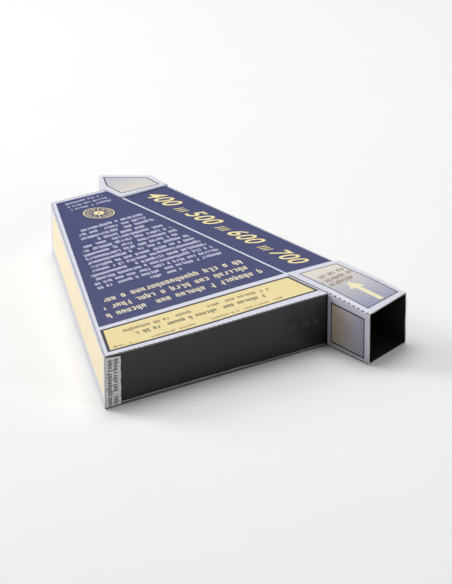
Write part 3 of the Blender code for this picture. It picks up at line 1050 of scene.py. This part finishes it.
def build_hood(depth=0.16):
    """The light tube: a square hood with an oblique mouth, its top and right wall lapping the case."""
    names = ("hood_top", "hood_right", "plain", "hood_left", "inner", "fold", "edge", "black")
    look = {name: i for i, name in enumerate(names)}
    folded = dash_stations(0.0, 1.0, HOOD_DASH_PERIOD / -HOOD_LEFT_FRONT)
    stations = [(share, None, cut) for share, cut in folded]
    for step in range(1, HOOD_REAR_STEPS + 1):
        stations.append((1.0, HOOD_BACK * step / HOOD_REAR_STEPS, False))
    sides = [(side, fold) for _, _, side, fold in hood_loop(0.0, HOOD_TOP)]
    width = len(sides)
    points = []
    index = {}
    for layer, inset in enumerate((0.0, PLY)):
        for j, (share, rear_y, cut) in enumerate(stations):
            for i in range(width if rear_y is None else LAST_LAPPING + 1):
                index[(layer, j, i)] = len(points)
                cut_depth = depth if cut and not inset else 0.0
                points.append(hood_point(i, inset, share, rear_y, cut_depth))
    faces = []
    cells = []
    for j in range(len(stations) - 1):
        cut = stations[j][2] and stations[j + 1][2]
        for i in range(width):
            k = (i + 1) % width
            keys = [(j, i), (j + 1, i), (j + 1, k), (j, k)]
            if any((0, *key) not in index for key in keys):
                continue
            side = sides[i][0]
            in_cut = cut and sides[i][1] and sides[k][1]
            outer = tuple(index[(0, *key)] for key in keys)
            inner = tuple(reversed([index[(1, *key)] for key in keys]))
            faces.append((outer, look["fold"] if in_cut else side))
            # The tube's floor keeps the black card; its other inner faces take the black card painted
            # lighter, as painted light inside the tube.
            faces.append((inner, look["black"] if side == 2 else look["inner"]))
            cells.append((j, i))
    made = set(cells)
    for j, i in cells:
        k = (i + 1) % width
        for a, b, neighbour in (
            ((j, k), (j, i), (j - 1, i)),
            ((j + 1, i), (j + 1, k), (j + 1, i)),
            ((j, i), (j + 1, i), (j, (i - 1) % width)),
            ((j + 1, k), (j, k), (j, k)),
        ):
            if neighbour in made:
                continue
            rim = (index[(0, *b)], index[(1, *b)], index[(1, *a)], index[(0, *a)])
            at_floor_end = sides[k][0] == 2 and neighbour in ((j + 1, i), (j, k))
            faces.append((rim, look["black"] if at_floor_end else look["edge"]))
    nodes = ("tube_top_panel", "tube_left_wall", "tube_right_wall", "tube_bottom_panel")
    add_piece("light_tube", points, faces, names, nodes)


def fray(x, z):
    """The mouth's cut edge is a little ragged, most of all at its upper left corner."""
    corner = math.exp(-math.hypot(x, z - HEIGHT) / 3.5)
    return 0.10 * math.sin(2.3 * z + 1.7 * x) - 0.5 * corner * math.sin(5 * z + 3 * x)


def outline_slab(name, outline, floor, thickness, looks, nodes, soft=0.15):
    """A level panel over a plan outline that runs anticlockwise."""
    count = len(outline)
    points = [(x, y, floor + thickness) for x, y in outline] + [(x, y, floor) for x, y in outline]
    faces = [(tuple(range(count)), 0), (tuple(range(2 * count - 1, count - 1, -1)), 1)]
    for i in range(count):
        k = (i + 1) % count
        faces.append(((i, i + count, k + count, k), 2))
    return soften(add_piece(name, points, faces, looks, nodes), soft)


def build_eyepiece():
    """The five-sided housing: top, walls, floor, and the oblique wall with its round window."""
    back = (EYE_BACK.x, EYE_BACK.y)
    right = (EYE_RIGHT.x, EYE_RIGHT.y)
    front_right = EYE_FRONT + (EYE_FRONT_RIGHT - EYE_LEFT_X) * EYE_FRONT_SLOPE
    outline = [(EYE_LEFT_X, EYE_FRONT), (EYE_FRONT_RIGHT, front_right), right, back]
    outline.append((EYE_LEFT_X, EYE_LEFT_BACK))
    thickness = EYE_TOP - HEIGHT - 0.1
    looks = ("eye_top", "black", "hood_plain")
    outline_slab("eyepiece_top", outline, EYE_TOP - thickness, thickness, looks,
                 ("eyepiece_top_panel",), 0.3)
    floor = [(0, LENGTH), (RIGHT, LENGTH), right, back]
    outline_slab("eyepiece_floor", floor, 0, PLY, flat_looks("plain"),
                 ("eyepiece_bottom_panel",))

    ceiling = EYE_TOP - thickness - 0.02
    run = Vector((back[0] - EYE_LEFT_X, back[1] - LENGTH, 0)).normalized()
    inward = Vector((run.y, -run.x, 0)) * PLY
    corners = standing(back, (0.1, LENGTH + 0.1), PLY, ceiling)
    slab("eyepiece_left_side", corners, inward, flat_looks("hood_plain"),
         ("eyepiece_left_wall",), (4, 4))

    flap_x = RIGHT + GAP + PLY
    flap_front = plan_low("eyepiece_side_flap", "y") + 1.5
    corners = standing((flap_x, flap_front), (flap_x, right[1]), STEP, ceiling)
    slab("eyepiece_flap", corners, (-PLY, 0, 0), flat_looks("hood_plain"),
         ("eyepiece_side_flap",), (4, 4))
    build_window_wall(ceiling)


def window_place():
    """A frame at the middle of the oblique window: x along the wall, y down, z inwards."""
    run = EYE_RIGHT - EYE_BACK
    run.z = 0
    run.normalize()
    inward = Vector((run.y, -run.x, 0))
    middle = (EYE_BACK + EYE_RIGHT) / 2
    middle.z = HEIGHT / 2
    turned = Matrix((run, inward.cross(run), inward)).transposed().to_4x4()
    return Matrix.Translation(middle) @ turned


def build_window_wall(ceiling, steps=64):
    """The oblique wall, a panel up to ceiling with a round hole."""
    place = window_place()
    half = (EYE_RIGHT.xy - EYE_BACK.xy).length / 2 - 0.1
    drop = HEIGHT / 2 - PLY
    rise = ceiling - HEIGHT / 2
    points = []
    for depth in (0.0, PLY):
        outer = []
        inner = []
        for i in range(steps):
            angle = 2 * math.pi * i / steps
            across, down = math.cos(angle), math.sin(angle)
            limit = rise if down < 0 else drop
            reach = min(half / max(abs(across), 1e-6), limit / max(abs(down), 1e-6))
            outer.append(place @ Vector((across * reach, down * reach, depth)))
            inner.append(place @ Vector((across * WINDOW_RADIUS, down * WINDOW_RADIUS, depth)))
        points += outer + inner
    front_out, front_in, back_out, back_in = (n * steps for n in range(4))
    faces = []
    for i in range(steps):
        k = (i + 1) % steps
        faces.append(((front_out + i, front_in + i, front_in + k, front_out + k), 0))
        faces.append(((back_out + k, back_in + k, back_in + i, back_out + i), 1))
        faces.append(((front_out + k, back_out + k, back_out + i, front_out + i), 2))
        faces.append(((front_in + i, back_in + i, back_in + k, front_in + k), 2))
    add_piece("eyepiece_window", points, faces, flat_looks("hood_plain"),
              ("eyepiece_window_wall",))


# The inner pieces keep their CAD shapes: the nodes that take each look
INNER_NODES = {
    "black": (
        "scale_cover_lower", "scale_cover_upper", "light_baffle", "light_baffle_foot", "slit_plate",
        "slit_blade_left", "slit_blade_right", "tube_glue_flap", "lens_holder", "grating_holder",
    ),
    "plain": ("body_left_glue_flap", "body_back_glue_flap", "body_right_glue_flap"),
    "lens": ("lens",),
    "grating": ("grating_film",),
}


def finish_inner_parts():
    """Gives the inner pieces their finished materials."""
    for look, nodes in INNER_NODES.items():
        for node in nodes:
            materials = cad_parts[node].data.materials
            materials.clear()
            materials.append(LOOKS[look])


# ---------------- stage


CAMERA_YAW = 36.79
CAMERA_PITCH = 21.25
CAMERA_ROLL = -0.16
CAMERA_PLACE = (-863.5, -1080.6, 562.7)
FOCAL_LENGTH = 270.637
SENSOR = 36.0


def build_camera():
    """The main view: from the left of the wide front, a little above, through a long lens."""
    data = bpy.data.cameras.new("camera")
    data.sensor_fit = "HORIZONTAL"
    data.sensor_width = SENSOR
    data.lens = FOCAL_LENGTH
    data.clip_end = 20.0
    camera = bpy.data.objects.new("camera", data)
    turn = Matrix.Rotation(math.radians(-CAMERA_YAW), 4, "Z")
    tilt = Matrix.Rotation(math.radians(90 - CAMERA_PITCH), 4, "X")
    roll = Matrix.Rotation(math.radians(CAMERA_ROLL), 4, "Z")
    camera.matrix_world = Matrix.Translation(plan(*CAMERA_PLACE)) @ turn @ tilt @ roll
    bpy.context.scene.collection.objects.link(camera)
    bpy.context.scene.camera = camera


# Softboxes that face the middle of the part: name, place in metres, side in metres and watts
LIGHTS = (
    ("back_left_softbox", (-0.75, 1.35, 0.85), 0.8, 18.5),
    ("overhead_softbox", (0.15, 0.45, 1.45), 1.3, 19.5),
    ("back_right_softbox", (1.2, 1.25, 0.75), 0.9, 0.6),
    ("right_softbox", (1.5, -0.35, 0.5), 0.8, 1.6),
    ("front_softbox", (0.35, -1.5, 0.7), 0.8, 7.0),
)
WORLD_LIGHT = 0.10
FLOOR_REACH = 6.0
FLOOR_DROP = 0.0002


def add_light(name, place, side, watts):
    """A soft square area light that faces the origin."""
    data = bpy.data.lights.new(name, "AREA")
    data.shape = "SQUARE"
    data.size = side
    data.energy = watts
    light = bpy.data.objects.new(name, data)
    light.location = place
    light.rotation_euler = (-Vector(place)).to_track_quat("-Z", "Y").to_euler()
    bpy.context.scene.collection.objects.link(light)


def build_floor():
    """The plain pale floor, a hair below the part."""
    corners = [(-1, -1), (1, -1), (1, 1), (-1, 1)]
    points = [(x * FLOOR_REACH, y * FLOOR_REACH, 0) for x, y in corners]
    mesh = bpy.data.meshes.new("floor")
    mesh.from_pydata(points, [], [(0, 1, 2, 3)])
    floor = bpy.data.objects.new("floor", mesh)
    floor.location.z = -FLOOR_DROP
    paint = Paint("pale_floor", (0.84, 0.84, 0.835, 1), 0.6)
    paint.shade(paint.noise(60.0, 2.0), 0.02)
    mesh.materials.append(paint.done())
    bpy.context.scene.collection.objects.link(floor)


def build_studio():
    """Soft studio light, most of it from above and from behind on the left."""
    world = bpy.data.worlds.new("studio")
    world.use_nodes = True
    background = world.node_tree.nodes["Background"]
    feed(background, {"Color": (1.0, 1.0, 1.0, 1), "Strength": WORLD_LIGHT})
    bpy.context.scene.world = world
    for light in LIGHTS:
        add_light(*light)
    bpy.context.scene.view_settings.view_transform = "Standard"


def main():
    types = [(text_shape(number, OUTLINE_SWELL), text_shape(number, BODY_SWELL)) for number in NUMBERS]
    make_looks()
    build_case()
    build_numerals(types)
    build_dial()
    build_back_wall()
    build_film()
    build_lip()
    build_glue_tab()
    build_hood()
    build_eyepiece()
    finish_inner_parts()
    build_camera()
    build_floor()
    build_studio()


main()
